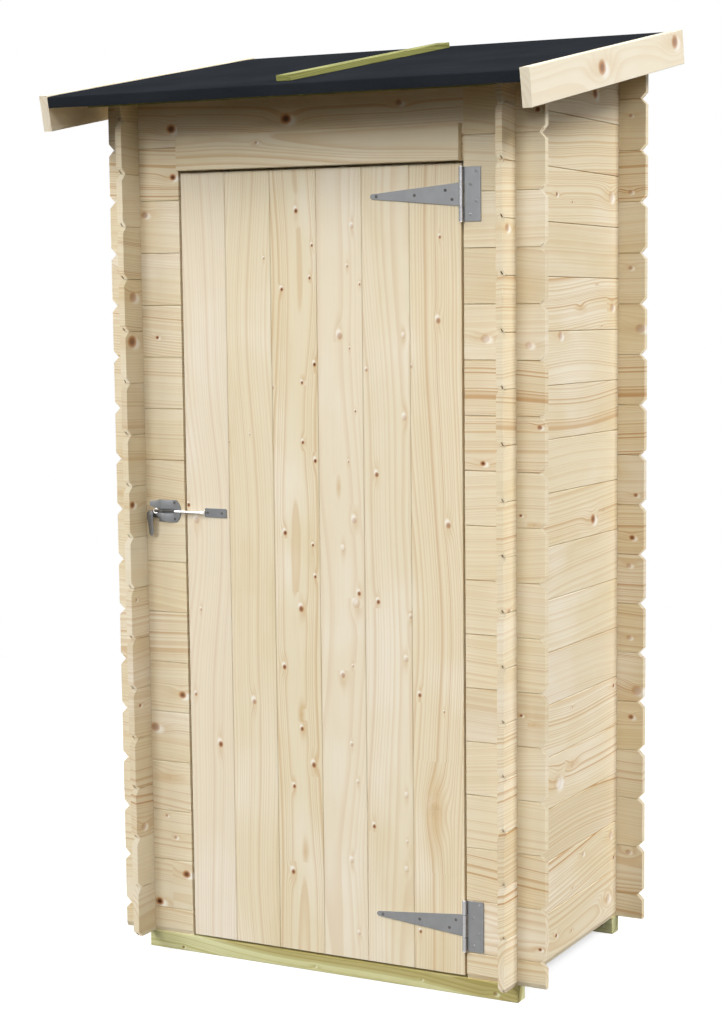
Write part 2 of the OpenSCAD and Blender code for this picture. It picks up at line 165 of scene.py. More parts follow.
def wall_section(t):
    """Tongue on the top edge, groove in the bottom edge, a small V joint on both faces and a sloping foot."""
    depths = (0.0, 0.0011, 0.0040, 0.0040, 0.0074, 0.0074, t - 0.0011, t)
    flat = (0.0,) * 8
    eased = (0.0006, 0.0, 0.0, 0.0, 0.0, 0.0, 0.0, 0.0006)
    return section(
        depths,
        low=(0.0016, 0.0006, 0.0006, 0.0085, 0.0085, 0.0004, 0.0004, 0.0014),
        high=(0.0016, 0.0006, 0.0006, -0.0060, -0.0060, 0.0004, 0.0004, 0.0014),
        foot=(0.0110, 0.0080, 0.0, 0.0, 0.0, 0.0, 0.0, 0.0006),
        grooved_foot=(0.0110, 0.0080, 0.0, 0.0085, 0.0085, 0.0, 0.0, 0.0006),
        end=eased, plain=eased, lap=flat, seam=flat,
        roof=tuple(d * math.tan(PITCH) for d in depths))


def plain_section(t, soft=0.0012, joint=0.0, ends=None):
    """A planed board: eased corners all round, and edges of the kind joint drawn in for a V joint between boards."""
    ring = (0.0, soft * 0.3, soft, t - soft, t - soft * 0.3, t)
    easing = (soft, soft * 0.3, 0.0, 0.0, soft * 0.3, soft)
    tips = tuple(d * (soft if ends is None else ends) / soft for d in easing)
    vee = tuple(joint * share + 0.0004 for share in (1.0, 0.7, 0.0, 0.0, 0.7, 1.0))
    return section(ring, plain=easing, end=tips, joint=vee)


def chain(a0, a1, c, way, kind, cut0=0.0, cut1=0.0, laps=(), depth=0.0, splits=()):
    """One long edge of a board from a0 to a1 at the height c, left to right: its points, the kinds of its edges and
    the places where the face may be divided. way is 1 for the lower edge and -1 for the upper one."""
    points, kinds, marks = [], [], []

    def put(a, height, next_kind, mark=False):
        if mark:
            marks.append(len(points))
        points.append((a, height))
        kinds.append(next_kind)

    if cut0:
        put(a0, c + way * cut0, "end")
    put(a0 + cut0, c, kind)
    for at, lap in sorted([(lap[0], lap) for lap in laps] + [(s, None) for s in splits], key=lambda event: event[0]):
        if lap is None:
            put(at, c, kind, True)
        elif depth:
            put(lap[0], c, "lap")
            put(lap[0], c + way * depth, "lap", True)
            put(lap[1], c + way * depth, "lap", True)
            put(lap[1], c, kind)
        else:
            put(lap[0], c, kind, True)
            put(lap[1], c, kind, True)
    put(a1 - cut1, c, "end")
    if cut1:
        put(a1, c + way * cut1, "end")
    return points, kinds[:-1], marks


def outline(low, high, left="end", right="end"):
    """Joins a lower and an upper chain into one loop, counter-clockwise, with the cells that divide its face."""
    (lp, lk, lm), (hp, hk, hm) = low, high
    n, m = len(lp), len(hp)
    lows, highs = [0, *lm, n - 1], [0, *hm, m - 1]
    cells = [[*range(lows[i], lows[i + 1] + 1)] + [n + m - 1 - j for j in range(highs[i + 1], highs[i] - 1, -1)]
             for i in range(len(lows) - 1)]
    return np.array(lp + hp[::-1], float), lk + [right] + hk[::-1] + [left], cells


def carve(loop, kinds, cells, cross):
    """Carries a closed outline through the thickness. Ring k is the outline drawn in by the cross-section's row k, at
    its depth; neighbouring rings are joined by quads and the first and last ones are closed by the cells."""
    depths, insets = cross
    n, rings = len(loop), len(depths)
    drawn = np.stack([insets[kind] for kind in kinds], axis=1)
    points = np.concatenate([
        np.column_stack([shifted(loop, drawn[k]), np.full(n, depths[k])]) for k in range(rings)])
    last = (rings - 1) * n
    caps = [list(cell) for cell in cells] + [[last + v for v in reversed(cell)] for cell in cells]
    faces = quads_between(n, rings) + caps
    side = borrowed(loop, kinds)
    lead = np.concatenate([(np.arange(rings - 1)[:, None] * n + side).ravel(), np.arange((rings - 1) * n, len(faces))])
    return points, faces, lead


def borrowed(loop, kinds):
    """For each edge of a board's outline the edge whose shading it takes: a sloping cut at an end takes that of the
    upright end beside it, so that the end looks softly rounded, and any other edge keeps its own."""
    run = np.roll(loop, -1, axis=0) - loop
    tip = np.array([kind == "end" for kind in kinds])
    upright = tip & (np.abs(run[:, 0]) < 1e-6)
    own = np.arange(len(loop))
    sloping = tip & ~upright
    before, after = np.roll(own, 1), np.roll(own, -1)
    return np.where(sloping & upright[after], after, np.where(sloping & upright[before], before, own))


def quads_between(n, rings, closed=False):
    """Quads that join ring k to ring k + 1, of n points each; closed joins the last ring to the first as well."""
    i = np.arange(n)
    j = (i + 1) % n
    here = (np.arange(rings if closed else rings - 1) * n)[:, None]
    there = (here + n) % (n * rings)
    return np.stack([here + i, there + i, there + j, here + j], axis=-1).reshape(-1, 4).tolist()


def swept(rings):
    """Closed rings of points, joined one after another and capped at both ends."""
    rings = np.asarray(rings, float)
    count, n = rings.shape[:2]
    caps = [list(range(n)), [(count - 1) * n + v for v in range(n)][::-1]]
    return rings.reshape(-1, 3), quads_between(n, count) + caps, None


def rectangle(length, height, low="plain", high="plain", splits=()):
    """A plain board's outline from its own corner."""
    return outline(chain(0.0, length, 0.0, 1, low, splits=splits), chain(0.0, length, height, -1, high, splits=splits))


def midways(knots, near=(), gap=0.009):
    """Places half way between neighbouring knots, for dividing a face between them, clear of the laps."""
    places = np.sort(np.array([knot[0] for knot in knots], float))
    middle = ((places[1:] + places[:-1]) / 2)[np.diff(places) > gap]
    return [m for m in middle if all(m < lap[0] - 0.004 or m > lap[1] + 0.004 for lap in near)]


# ---- meshes

def added(name, data):
    """A new object of the scene."""
    made = bpy.data.objects.new(name, data)
    bpy.context.scene.collection.objects.link(made)
    return made


class Stack:
    """Gathers the boards or shells of one piece, each with its own grain, knots and tone."""

    def __init__(self):
        self.points, self.faces, self.lay, self.tone, self.knot, self.facing = [], [], [], [], [], []
        self.count = 0

    def add(self, shape, place=None, lay=(0.0, 0.0, 0.0), tone=(0.0, 0.0, 0.5), knots=()):
        """Adds a closed shell: its points, its faces, and the face whose shading each face takes, or None. place is
        the 3x4 matrix from the shell's own axes to the shed's.

        The grain's coordinates are the own ones plus lay. A corner's knot coordinates are its distance from the
        nearest knot in knot radii; the third one is the radius in whole millimetres plus the darkness. The shell's
        faces are turned outwards by the sign of its volume: a third of the sum of each face's middle times its area."""
        own, faces, lead = shape
        place = np.eye(3, 4) if place is None else np.array(place, float)
        world = own @ place[:, :3].T + place[:, 3]
        sizes = np.array([len(face) for face in faces])
        corner = np.concatenate(faces)
        starts = np.concatenate([[0], np.cumsum(sizes)[:-1]])
        ahead = np.roll(corner, -1)
        ahead[starts + sizes - 1] = corner[starts]
        area = np.add.reduceat(np.cross(world[corner], world[ahead]), starts) / 2
        middle = np.add.reduceat(world[corner], starts) / sizes[:, None]
        if np.sum(area * middle) < 0:
            faces, area = [face[::-1] for face in faces], -area
            corner = np.concatenate(faces)
        if lead is not None:
            size = np.linalg.norm(area, axis=1, keepdims=True)
            self.facing.append(np.where(size > 1e-12, area / np.maximum(size, 1e-12), 0.0)[lead].repeat(sizes, axis=0))
        knot = np.tile([99.0, 99.0, 0.0], (len(corner), 1))
        if len(knots):
            knots = np.array(knots, float)
            along = np.add.reduceat(own[corner, 0], starts) / sizes
            pick = knots[np.abs(along[:, None] - knots[None, :, 0]).argmin(axis=1).repeat(sizes)]
            away = (own[corner, :2] - pick[:, :2]) / pick[:, 2:3]
            knot = np.column_stack([away, np.floor(pick[:, 2] * 1000) + np.minimum(pick[:, 3], 0.98)])
        self.points.append(world)
        self.faces += [[v + self.count for v in face] for face in faces]
        self.lay.append(own + np.asarray(lay, float))
        self.tone.append(np.tile(tone, (len(own), 1)))
        self.knot.append(knot)
        self.count += len(own)

    def piece(self, name, finish, body, nodes=(), smooth=False):
        """Makes the mesh, its attributes lay, tone and knot, hangs it on its body and hides the frame's nodes that it
        stands for.
        """
        mesh = bpy.data.meshes.new(name)
        mesh.from_pydata(np.concatenate(self.points).tolist(), [], self.faces)
        for label, where, rows in (("lay", "POINT", self.lay), ("tone", "POINT", self.tone),
                                   ("knot", "CORNER", self.knot)):
            layer = mesh.attributes.new(label, "FLOAT_VECTOR", where)
            layer.data.foreach_set("vector", np.concatenate(rows).astype(np.float32).ravel())
        mesh.materials.append(finish)
        if smooth:
            mesh.shade_smooth()
            mesh.set_sharp_from_angle(angle=math.radians(20))
        elif self.facing:
            mesh.shade_smooth()
            mesh.normals_split_custom_set(np.concatenate(self.facing).tolist())
        mesh.update()
        made = added(name, mesh)
        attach(made, body)
        if nodes:
            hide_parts(*nodes)

    def metal(self, name, finish, body, *nodes):
        """Makes a piece of ironwork."""
        self.piece(name, finish, body, nodes, smooth=True)


def one_shell(name, finish, body, slot, nodes, shape, *laid, smooth=False):
    """A piece of a single shell."""
    stack = Stack()
    stack.add(shape, *laid)
    stack.piece(name, finish, body, nodes, smooth)


def placed(along, across, through, origin):
    """The 3x4 matrix that takes a board's own axes to three directions from an origin."""
    return np.column_stack([along, across, through, origin])


def grain(rng, width, heart=None):
    """Where a board was sawn from its log: a place along the log, and how far off the pith lies across and behind."""
    heart = rng.random() < 0.5 if heart is None else heart
    if heart:
        return np.array([rng.uniform(3, 60), rng.uniform(-0.3, 0.3) * width - width / 2, rng.uniform(0.025, 0.060)])
    side = rng.choice([-1.0, 1.0])
    return np.array([rng.uniform(3, 60), side * rng.uniform(0.5, 1.0) * width - width / 2, rng.uniform(0.03, 0.09)])


def board_tone(rng, light=0.0, warm=0.0, spread=1.0):
    """A board's own lightness, warmth and strength of grain."""
    return light + spread * rng.normal(0, 0.38), warm + spread * rng.normal(0, 0.45), 0.1 + 0.85 * rng.random() ** 2.2


def random_knots(rng, a0, a1, c0, c1, every=0.30):
    """Knots strewn over a board that shows none in particular."""
    return [(rng.uniform(a0, a1), rng.uniform(c0 + 0.012, c1 - 0.012), rng.choice([0.003, 0.004, 0.006, 0.009]),
             rng.uniform(0.2, 0.95)) for _ in range(rng.poisson((a1 - a0) / every))]


# ---- materials

def shade(red, green, blue):
    """A colour written as 0 to 255 steps, as the linear values that the shader takes."""
    steps = np.array([red, green, blue]) / 255.0
    linear = np.where(steps <= 0.04045, steps / 12.92, ((steps + 0.055) / 1.055) ** 2.4)
    return (*linear.tolist(), 1.0)


def grey(value):
    """A grey as a linear colour."""
    return (value, value, value, 1.0)


class Flow:
    """One output of a node. Arithmetic on it adds Math nodes: + - * /, root, fraction, whole and larger."""

    def __init__(self, finish, socket):
        self.finish, self.socket = finish, socket

    def step(self, start, end):
        """0 before start, 1 after end, and a smooth rise between them."""
        return self.finish.node("ShaderNodeMapRange", {"interpolation_type": "SMOOTHSTEP"},
                                {"Value": self, "From Min": start, "From Max": end})


def arithmetic(operation, turned=False):
    """A method of Flow that adds a Math node; turned is for an operator whose other value stands on the left."""
    def method(flow, *others):
        values = (*others, flow) if turned else (flow, *others)
        return flow.finish.node("ShaderNodeMath", {"operation": operation}, dict(enumerate(values)))
    return method


for sign, operation in (("add", "ADD"), ("sub", "SUBTRACT"), ("mul", "MULTIPLY"), ("truediv", "DIVIDE")):
    setattr(Flow, f"__{sign}__", arithmetic(operation))
    setattr(Flow, f"__r{sign}__", arithmetic(operation, True))
for name, operation in (("root", "SQRT"), ("fraction", "FRACT"), ("whole", "FLOOR"), ("larger", "MAXIMUM")):
    setattr(Flow, name, arithmetic(operation))


class Finish:
    """The nodes of one material, or of the sky."""

    def __init__(self, tree, shader="Principled BSDF", **fixed):
        self.tree = tree
        self.shader = tree.nodes[shader]
        for label, value in fixed.items():
            self.shader.inputs[label.replace("_", " ")].default_value = value

    def node(self, kind, settings=None, values=None, out=0):
        """Adds a node: its settings first, then the values or links of its sockets. Returns one output."""
        made = self.tree.nodes.new(kind)
        for label, value in (settings or {}).items():
            setattr(made, label, value)
        for label, value in (values or {}).items():
            if isinstance(value, Flow):
                self.tree.links.new(value.socket, made.inputs[label])
            else:
                made.inputs[label].default_value = value
        return Flow(self, made.outputs[out])

    def parts(self, vector):
        """The three numbers of a vector."""
        return [self.node("ShaderNodeSeparateXYZ", None, {0: vector}, out=i) for i in range(3)]

    def attribute(self, label):
        """The three numbers of one of the piece's own attributes."""
        return self.parts(self.node("ShaderNodeAttribute", {"attribute_name": label}, out="Vector"))

    def place(self):
        """The place on the piece, in its own axes."""
        return self.node("ShaderNodeTexCoord", out="Object")

    def ray(self, kind):
        """1 for rays of this kind, 0 for others."""
        return self.node("ShaderNodeLightPath", out=f"Is {kind} Ray")

    def vector(self, x, y, z):
        """A vector from three numbers."""
        return self.node("ShaderNodeCombineXYZ", None, {0: x, 1: y, 2: z})

    def noise(self, at, scale=1.0, detail=2.0, flat=False):
        """Noise from 0 to 1, on a vector, or on one number when flat."""
        return self.node("ShaderNodeTexNoise", {"noise_dimensions": "1D" if flat else "3D"},
                         {"W" if flat else "Vector": at, "Scale": scale, "Detail": detail})

    def mix(self, share, first, second, blend="MIX"):
        """Mixes two colours."""
        return self.node("ShaderNodeMix", {"data_type": "RGBA", "blend_type": blend},
                         {0: share, 6: first, 7: second}, out=2)

    def coats(self, colour, *coats):
        """Lays colours over one another. A coat is its share, its colour and, unless it covers, how it blends."""
        for share, over, *blend in coats:
            colour = self.mix(share, colour, over, *blend)
        return colour

    def feed(self, label, flow):
        """Leads a value into the shader."""
        self.tree.links.new(flow.socket, self.shader.inputs[label])

    def bump(self, height, distance, strength):
        """Raises the surface by a height."""
        self.feed("Normal", self.node("ShaderNodeBump", None,
                                      {"Strength": strength, "Distance": distance, "Height": height}))


def squares(a, b):
    """The sum of the squares of two numbers."""
    return a * a + b * b


def new_finish(name, **fixed):
    """A new material and the nodes to fill it."""
    made = bpy.data.materials.new(name)
    made.use_nodes = True
    return made, Finish(made.node_tree, **fixed)


def softwood(name, palette, roughness=0.6, dark_core=None):
    """Planed softwood. A year ring is one step of the distance from the pith, which wanders along the board and swells
    round each knot: it darkens slowly and ends at once. Over the rings lie fine fibres, slow stains and pale patches,
    and knots with a dark heart, a brown body, a thin dark rim and a pale side. dark_core is the radius round the pith
    within which the wood turns browner."""
    made, f = new_finish(name, Roughness=roughness, Specular_IOR_Level=0.2)
    pale, line, band, halo, stained, knot, heart, cool, warm = (shade(*colour) for colour in palette)
    along, across, through = f.attribute("lay")
    ka, kc, kz = f.attribute("knot")
    light, heat, force = f.attribute("tone")
    kind = kz.fraction()
    size = kz.whole() * 0.001

    # The distance from the pith
    wander = f.noise(f.vector(along * 1.3, across * 3.0, through * 3.0), detail=1.0) - 0.5
    drift = f.noise(along + 9.0, scale=0.9, detail=1.0, flat=True) - 0.5
    ripple = f.noise(f.vector(along * 7.0, across * 26.0, through * 26.0), detail=1.0) - 0.5
    reach = squares(ka * 0.20, kc * 0.42)
    swell = size * 1.5 / (1.0 + reach * reach)
    off_pith = squares(across + drift * 0.10 + wander * 0.030, through + wander * 0.055).root()
    radius = off_pith + ripple * 0.0018 + swell

    # Year rings, late wood and how rich each ring is; then fibres, stains and pale patches
    year = f.noise(radius, scale=24.0, detail=1.0, flat=True)
    ring = radius * 140.0 + year * 7.0
    part = ring.fraction()
    late = part.step(0.25, 0.88) * (1.0 - part.step(0.90, 1.0))
    rich = f.noise(ring, scale=0.31, detail=1.0, flat=True)
    fibre = f.noise(f.vector(along * 9.0, across * 700.0, through * 700.0), detail=2.0)
    stain = f.noise(f.vector(along * 2.4, across * 11.0, through * 11.0 + 3.0), detail=3.0)
    cloud = f.noise(f.vector(along * 3.2, across * 5.0, through * 5.0 + 7.0), detail=2.0)

    colour = f.coats(
        pale,
        (stain.step(0.50, 0.75) * 0.60, stained),
        (cloud.step(0.46, 0.72) * 0.48, halo),
        (rich.step(0.45, 0.70) * (force * 0.18), line),
        (late * (rich * (0.42 + force * 0.95)), line),
        ((rich.step(0.56, 0.70) * late) * (force * 0.75), band),
        (fibre.step(0.35, 0.8) * 0.16, line),
        ((0.0 - heat).step(0.0, 1.2) * 0.8, cool, "MULTIPLY"),
        (heat.step(0.0, 1.3) * 0.8, warm, "MULTIPLY"),
        (light.step(0.0, 1.2) * 0.7, shade(240, 231, 211)),
        ((0.0 - light).step(0.0, 1.3) * 0.8, shade(226, 216, 203), "MULTIPLY"))
    if dark_core:
        colour = f.mix((1.0 - radius.step(*dark_core)) * 0.85, colour, shade(214, 200, 168), "MULTIPLY")

    # Knots: the distance from the middle, the pale side, and the smear along the grain
    away = squares(ka * 0.85, kc).root() + ripple * 0.6
    wide = squares((ka - 1.1) * 0.48, (kc + 0.5) * 0.68).root()
    smear = squares(ka * 0.13, kc * 0.55).root()
    real = kind.step(0.0, 0.1)
    body = 1.0 - away.step(0.75, 1.20)
    rim = away.step(0.70, 1.00) * (1.0 - away.step(1.05, 1.40))
    core = 1.0 - away.step(0.35, 0.95)
    f.feed("Base Color", f.coats(
        colour,
        ((1.0 - smear.step(0.0, 1.4)) * (0.62 - real * 0.27), line),
        ((1.0 - wide.step(0.35, 1.15)) * (real * 0.90), halo),
        (body * (kind.step(0.0, 0.8) * 0.45 + kind * 0.50), knot),
        (rim * (real * 0.15 + kind * 0.40), band),
        (core * (kind * kind), heart)))
    f.feed("Roughness", roughness - 0.04 + fibre * 0.10)
    f.bump(fibre * 0.4 + late * 0.6 - core * 0.6, 0.00030, 0.4)
    return made


# Their colours: pale wood, ring line, strong ring, pale halo, stain, knot, its heart, and a cool and a warm cast
spruce = softwood("planed_spruce", (
    (231, 219, 190), (208, 175, 125), (184, 133, 84), (247, 241, 229), (220, 203, 162), (186, 124, 68), (66, 34, 20),
    (249, 246, 250), (253, 244, 220)))
treated_pine = softwood("treated_pine", (
    (214, 212, 164), (178, 172, 106), (146, 138, 74), (224, 223, 184), (200, 192, 134), (150, 112, 58), (84, 62, 34),
    (236, 242, 226), (246, 236, 206)), roughness=0.7, dark_core=(0.027, 0.034))
olive_pine = softwood("olive_pine", (
    (146, 148, 84), (102, 100, 44), (84, 78, 34), (158, 160, 100), (124, 122, 60), (120, 88, 44), (70, 52, 28),
    (236, 242, 226), (246, 236, 206)), roughness=0.75)


def roofing_felt():
    """Charcoal felt: close mineral grit, faint lengthways marks of rolling and slow changes of tone."""
    made, f = new_finish("charcoal_felt", Roughness=0.8, Specular_IOR_Level=0.0)
    place = f.place()
    x, y, z = f.parts(place)
    grit = f.noise(place, scale=1500.0)
    speck = f.noise(place, scale=520.0, detail=1.0).step(0.60, 0.72)
    patch = f.noise(place, scale=5.0, detail=3.0)
    rolled = f.noise(f.vector(x * 3.0, y * 60.0, z * 60.0))
    f.feed("Base Color", f.coats(
        shade(37, 40, 44),
        (patch.step(0.3, 0.75), shade(43, 46, 50)),
        (rolled.step(0.45, 0.8) * 0.25, shade(29, 32, 39)),
        (speck * 0.25, shade(62, 66, 74)),
        (grit.step(0.5, 0.8) * 0.4, shade(21, 24, 29))))
    f.feed("Roughness", 0.72 + grit * 0.2)
    f.bump(grit * 0.7 + speck * 0.5, 0.0005, 0.5)
    return made


def zinc(name, dull, bright, roughness, metal):
    """Zinc-plated steel: faint crystal patches and dull spots."""
    made, f = new_finish(name, Metallic=metal)
    place = f.place()
    spots = f.noise(place, scale=420.0, detail=1.0).step(0.62, 0.75)
    f.feed("Base Color", f.coats(shade(*dull), (f.noise(place, scale=38.0).step(0.3, 0.7), shade(*bright)),
                                 (spots * 0.2, shade(*dull))))
    f.feed("Roughness", roughness + spots * 0.05)
    return made


felt = roofing_felt()
plated_steel = zinc("zinc_plated_steel", (120, 121, 122), (125, 126, 127), 0.34, 0.85)
# The knuckles take a brighter, glossier copy of the plated zinc: a painted highlight
highlight_steel = zinc("zinc_painted_highlight", (160, 160, 163), (166, 166, 169), 0.24, 0.9)
bright_steel = zinc("bright_zinc", (222, 223, 224), (234, 235, 236), 0.22, 1.0)
# Dark zinc: the screws' heads, and painted shade on the rod's end inside the latch's jaws
dark_steel_and_shade = zinc("dark_zinc_and_painted_shade", (74, 73, 71), (84, 83, 81), 0.45, 0.5)


# ---- walls

def in_board(knots, a0, a1, c0, c1, start):
    """The knots that lie on a board, from their place on the wall; start is where the wall's own place begins."""
    return [(p - start, z - FOOT, r, kind) for p, z, r, kind in knots
            if a0 < p - start < a1 and c0 < z - FOOT < c1]


def unseen_knots(rng, a0, a1, c0, c1, row):
    """Strews knots over two boards out of three."""
    return random_knots(rng, a0 + 0.05, a1 - 0.05, c0, c1, 0.45) if row % 3 else []


def cross_rows(a_from, a_to, c_from, rows, seed, knots, left, right):
    """Boards of the front or back wall between two places along X, from the height c_from over the foot up.

    The lowest board is half a board. Each other one laps with the side walls' boards at both corners by a quarter of
    its height above and below. left and right say how a board ends: end is cut to a blunt point, seam is butted."""
    both = [(at - LAP_PLAY, at + WALL + LAP_PLAY) for at in (-BODY, BODY - WALL)]
    laps = [lap for lap in both if a_from < lap[0] and lap[1] < a_to]
    rng = np.random.default_rng(seed)
    for row in range(-1, rows):
        own = np.random.default_rng(rng.integers(1 << 30))
        lean, tone = grain(own, COURSE), board_tone(own, spread=0.6)
        c0, c1 = max(0.0, (row + 0.5) * COURSE), (row + 1.5) * COURSE
        if c1 <= c_from + 1e-6:  # wholly under the piece's foot
            continue
        foot = max(c0, c_from)
        found = in_board(knots, a_from, a_to, foot, c1, 0.0)
        if a_to - a_from > BODY:
            found = found + unseen_knots(own, WALL - BODY, BODY - WALL, foot, c1, row)
        splits = midways(found, laps)
        cuts, square = [END_CUT * (side == "end") for side in (left, right)], (0.0, 0.0)
        if row < 0:
            low = chain(a_from, a_to, foot, 1, "foot", *square, laps, 0.0, splits)
        else:
            low = chain(a_from, a_to, foot, 1, "plain" if c_from > c0 else "low", *cuts, laps, COURSE / 4, splits)
        kind, cuts = ("roof", square) if row == rows - 1 else ("high", cuts)
        yield (outline(low, chain(a_from, a_to, c1, -1, kind, *cuts, laps, COURSE / 4, splits), left, right),
               lean, tone, found)


def side_rows(seed, knots, tones=None):
    """The boards of a side wall, from the front wall's outer face: whole ones, then two cut along the roof's slope.

    tones gives some rows their own lightness, warmth and strength of grain; without it knots are strewn."""
    a0, a1 = -END, DEPTH + END
    laps = [(at - LAP_PLAY, at + WALL + LAP_PLAY) for at in (0.0, DEPTH - WALL)]
    ends = (END_CUT, END_CUT, laps, COURSE / 4)
    rear_end = (0.0, END_CUT, laps[1:], COURSE / 4)
    top, rise = WALL_TOP - FOOT, math.tan(PITCH)
    rng = np.random.default_rng(seed)
    for row in range(FRONT_ROWS + 2):
        own = np.random.default_rng(rng.integers(1 << 30))
        c0, c1 = row * COURSE, (row + 1) * COURSE
        lean, tone = grain(own, COURSE), (tones or {}).get(row, board_tone(own, spread=0.8))
        found = in_board(knots, a0, a1, c0, c1, FRONT)
        if tones is None:
            found = found + unseen_knots(own, 0.0, DEPTH, c0, c1, row)
        if row < FRONT_ROWS:
            splits = midways(found, laps)
            low = chain(a0, a1, c0, 1, "low" if row else "grooved_foot", *ends, splits)
            yield outline(low, chain(a0, a1, c1, -1, "high", *ends, splits)), lean, tone, found
            continue
        if row == FRONT_ROWS:
            low, low_kinds = chain(a0, a1, c0, 1, "low", *ends)[:2]
            high, high_kinds = chain((c1 - top) / rise, a1, c1, -1, "high", *rear_end)[:2]
            high, high_kinds, front = [(a0, top + a0 * rise), *high], ["seam", *high_kinds], "end"
        else:
            start = (c0 - top) / rise + TIP_SHORT
            low, low_kinds = chain(start, a1, c0, 1, "seam", *rear_end)[:2]
            high, high_kinds, front = [(start, top + start * rise), (a1, top + a1 * rise)], ["seam"], "seam"
        yield outline((low, low_kinds, []), (high, high_kinds, []), front), lean, tone, found[:1]


def build_wall(name, node, along, inwards, x, y, boards):
    """One piece of a wall, from the corner of its outer face where its boards' own places begin."""
    stack = Stack()
    for shape, lean, tone, found in boards:
        stack.add(carve(*shape, wall_section(WALL)), placed(along, Z, inwards, (x, y, FOOT)), lean, tone, found)
    stack.piece(name, spruce, "root", [node])


for place, start, stop, foot, seed, left, right in (("left", -BODY - END, LEFT, 0.0, 11, "end", "seam"),
                                                    ("right", RIGHT, BODY + END, 0.0, 12, "seam", "end"),
                                                    ("over_door", LEFT, RIGHT, OVER_DOOR, 11, "seam", "seam")):
    build_wall("front_boards_" + place, "front_wall_" + place, X, Y, 0.0, FRONT,
               cross_rows(start, stop, foot, FRONT_ROWS, seed, FRONT_KNOTS, left, right))
build_wall("back_boards", "back_wall", X, -Y, 0.0, BACK,
           cross_rows(-BODY - END, BODY + END, 0.0, FRONT_ROWS + 1, 14, BACK_KNOTS, "end", "end"))
build_wall("side_boards_left", "side_wall_left", Y, X, -BODY, FRONT, side_rows(21, LEFT_KNOTS))
build_wall("side_boards_right", "side_wall_right", Y, -X, BODY, FRONT, side_rows(22, RIGHT_KNOTS, {
    15: (-0.1, -0.3, 1.0), 14: (0.1, 0.1, 0.9), 13: (-0.1, -0.4, 0.15), 12: (0.1, 0.3, 0.75), 11: (0.3, 0.3, 0.35),
    8: (0.2, 0.4, 0.5), 7: (-0.1, -0.2, 0.15), 5: (-0.1, -0.5, 0.1), 4: (0.0, 0.1, 0.7), 3: (0.2, 0.3, 0.5),
    1: (0.1, 0.2, 0.8)}))


# ---- door

def door_planking():
    """Six upright planks with V joints. Each has its right edge, its log's pith and its own tone."""
    low, high = corners("door_planks")
    height = high[2] - low[2]
    planks = [
        (-0.242, (4.0, 0.060, 0.050), (0.7, -1.1, 0.40)),
        (-0.122, (11.0, -0.190, 0.060), (0.2, 0.0, 0.18)),
        (-0.002, (23.0, -0.066, 0.034), (-0.1, 0.1, 0.6)),
        (0.114, (31.0, -0.040, 0.075), (0.6, -0.5, 0.35)),
        (0.233, (44.0, -0.120, 0.060), (0.4, -0.3, 0.25)),
        (high[0], (52.0, 0.070, 0.060), (0.25, 0.1, 0.5)),
    ]
    stack = Stack()
    x0 = low[0]
    for i, (x1, lean, tone) in enumerate(planks):
        knots = [(z - low[2], x - x0, r, kind) for x, z, r, kind in DOOR_KNOTS if x0 < x < x1]
        shape = rectangle(height, x1 - x0, "plain" if i == 0 else "joint", "plain" if i == 5 else "joint",
                          midways(knots))
        stack.add(carve(*shape, plain_section(high[1] - low[1], 0.0012, 0.0015, 0.0008)),
                  placed(Z, X, Y, (x0, low[1], low[2])), lean, tone, knots)
        x0 = x1
    stack.piece("door_planking", spruce, "door", ["door_planks"])


door_planking()


def single_board(name, node, body, slot, finish=spruce, soft=0.0015, seed=1, lean=None, tone=None, knots=None):
    """A board that fills a node's box, with its grain along X and its broad face towards the front."""
    low, high = corners(node)
    length, thickness, width = high - low
    rng = np.random.default_rng(seed)
    if knots is None:
        knots = random_knots(rng, 0.02, length - 0.02, 0.0, width)
    one_shell(name, finish, body, slot, [node],
              carve(*rectangle(length, width, splits=midways(knots)), plain_section(thickness, soft)),
              placed(X, Z, Y, low), grain(rng, width) if lean is None else lean,
              board_tone(rng, spread=0.5) if tone is None else tone, knots)


for place, seed in (("top", 41), ("middle", 42), ("bottom", 43)):
    single_board("ledge_" + place, "door_ledge_" + place, "door", "frame_wood", soft=0.002, seed=seed)
single_board("trim_over_door", "lintel_board", "root", "trim_wood", seed=44, lean=(7.0, -0.045, 0.045),
             tone=(-0.1, -0.2, 0.6), knots=[(0.217, 0.056, 0.0028, 0.5)])


def door_brace(place, seed):
    """A slanting board whose ends are cut level, so that they bear on the ledges."""
    low, high = corners("door_brace_" + place)
    rng = np.random.default_rng(seed)
    foot = 0.098  # the length of a level end
    width, rise = high[0] - low[0], high[2] - low[2]
    slope = math.atan2(rise, width - foot)
    lengthways = np.array([-math.cos(slope), 0.0, math.sin(slope)])
    crossways = np.array([math.sin(slope), 0.0, math.cos(slope)])
    start = np.array([high[0] - foot, low[1], low[2]])
    spots = np.array([(high[0] - foot, low[2]), (low[0], high[2]), (low[0] + foot, high[2]), (high[0], low[2])])
    flat = (spots - start[[0, 2]]) @ np.column_stack([lengthways[[0, 2]], crossways[[0, 2]]])
    shape = carve(*counter_clockwise(flat), ["plain"] * 4, [[0, 1, 2, 3]], plain_section(high[1] - low[1], 0.002))
    one_shell("brace_" + place, spruce, "door", "frame_wood", ["door_brace_" + place], shape,
              placed(lengthways, crossways, Y, start), grain(rng, 0.08), board_tone(rng, spread=0.5),
              [(0.4, 0.03, 0.007, 0.6)])


door_brace("upper", 45)
door_brace("lower", 46)


